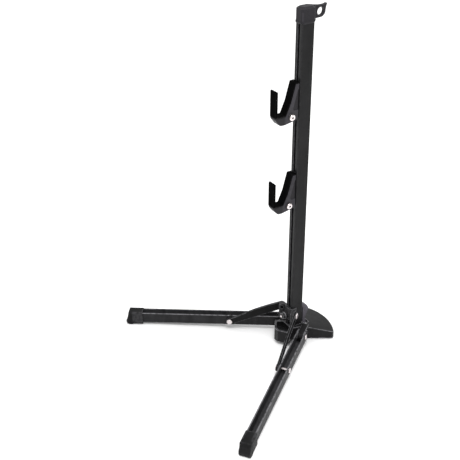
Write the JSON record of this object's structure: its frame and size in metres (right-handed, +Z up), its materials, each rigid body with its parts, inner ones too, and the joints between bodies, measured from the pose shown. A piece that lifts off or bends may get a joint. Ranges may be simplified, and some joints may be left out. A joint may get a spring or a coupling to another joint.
{
  "type": "folding hook stand",
  "caption": "Folding floor stand: slotted column with sliding padded hooks, hinged channel legs braced to a slider, fan-shaped rear foot and a hanging loop at the top.",
  "frame": {"origin": "on the floor, on the vertical axis of the column", "axes": "+Z up; the hooks open upward and stand on the -Y side of the column; the rear foot and the hanging loop are on the +Y side; X runs across the mirror plane between the two legs"},
  "size_m": [0.3484, 0.2596, 0.5038],
  "materials": {
    "column_coat": "satin black powder coat",
    "hub_coat": "satin black powder coat on a casting",
    "slider_plastic": "moulded black plastic, fine grain",
    "leg_coat": "satin black powder coat",
    "brace_coat": "satin black powder coat",
    "cap_plastic": "moulded black plastic, fine grain",
    "carriage_plastic": "moulded dark grey plastic, fine grain",
    "latch_plastic": "moulded mid grey plastic",
    "inner_plastic": "moulded black plastic",
    "rubber": "matte black rubber",
    "foot_rubber": "matte black rubber",
    "hook_rubber": "matte black rubber",
    "strip_steel": "mill finish",
    "rivet_steel": "bright zinc plated",
    "screw_steel": "bright zinc plated",
    "washer_steel": "dull zinc plated",
    "nut_steel": "black oxide"
  },
  "bodies": {
    "base": {"column": "column_coat", "column_core": "inner_plastic", "column_screw": "screw_steel", "hub": "hub_coat", "rear_sole": "rubber", "centre_pad": "rubber", "leg_pivot_pins": "rivet_steel", "latch_pin": "rivet_steel", "top_cap": "cap_plastic"},
    "latch": {"latch_lever": "latch_plastic"},
    "leg_right": {"leg_right": "leg_coat", "foot_cap_right": "foot_rubber", "brace_rivet_right": "rivet_steel", "brace_spacer_right": "inner_plastic"},
    "leg_left": {"leg_left": "leg_coat", "foot_cap_left": "foot_rubber", "brace_rivet_left": "rivet_steel", "brace_spacer_left": "inner_plastic"},
    "brace_right": {"brace_right": "brace_coat", "brace_pin_right": "rivet_steel"},
    "brace_left": {"brace_left": "brace_coat", "brace_pin_left": "rivet_steel"},
    "slider": {"slider": "slider_plastic", "slider_guide": "inner_plastic", "slider_bolt": "screw_steel", "slider_nut": "nut_steel"},
    "hook_upper": {"hook_carriage_upper": "carriage_plastic", "hook_plate_upper": "strip_steel", "hook_rubber_upper": "hook_rubber", "hook_slot_nut_upper": "inner_plastic", "hook_screw_upper": "screw_steel", "hook_washer_upper": "washer_steel", "hook_nut_upper": "nut_steel"},
    "hook_lower": {"hook_carriage_lower": "carriage_plastic", "hook_plate_lower": "strip_steel", "hook_rubber_lower": "hook_rubber", "hook_slot_nut_lower": "inner_plastic", "hook_screw_lower": "screw_steel", "hook_washer_lower": "washer_steel", "hook_nut_lower": "nut_steel"}
  },
  "joints": [
    {"name": "leg_fold_right", "type": "hinge", "parent": "base", "child": "leg_right", "pos_m": [0.02634, -0.00535, 0.0185], "axis": [-0.8028, -0.5962, 0], "range_deg": [0, 91.3]},
    {"name": "leg_fold_left", "type": "hinge", "parent": "base", "child": "leg_left", "pos_m": [-0.02634, -0.00535, 0.0185], "axis": [-0.8028, 0.5962, 0], "range_deg": [0, 91.3]},
    {"name": "brace_turn_right", "type": "hinge", "parent": "leg_right", "child": "brace_right", "pos_m": [0.06403, -0.07364, 0.016], "axis": [-0.8028, -0.5962, 0], "range_deg": [-156, 0]},
    {"name": "brace_turn_left", "type": "hinge", "parent": "leg_left", "child": "brace_left", "pos_m": [-0.06403, -0.07364, 0.016], "axis": [-0.8028, 0.5962, 0], "range_deg": [-156, 0]},
    {"name": "slider_lift", "type": "slide", "parent": "base", "child": "slider", "axis": [0, 0, 1], "range_m": [0, 0.1315]},
    {"name": "hook_slide_upper", "type": "slide", "parent": "base", "child": "hook_upper", "axis": [0, 0, 1], "range_m": [-0.035, 0.07]},
    {"name": "hook_slide_lower", "type": "slide", "parent": "base", "child": "hook_lower", "axis": [0, 0, 1], "range_m": [-0.025, 0.035]},
    {"name": "latch_tip", "type": "hinge", "parent": "base", "child": "latch", "pos_m": [0, 0.0159, 0.0195], "axis": [-1, 0, 0], "range_deg": [0, 8]}
  ],
  "couplings": [
    {"joint": "leg_fold_left", "follows": "leg_fold_right", "ratio": 1},
    {"joint": "brace_turn_right", "follows": "leg_fold_right", "ratio": -1.7071},
    {"joint": "brace_turn_left", "follows": "leg_fold_right", "ratio": -1.7071},
    {"joint": "slider_lift", "follows": "leg_fold_right", "m_per_rad": 0.082229}
  ]
}
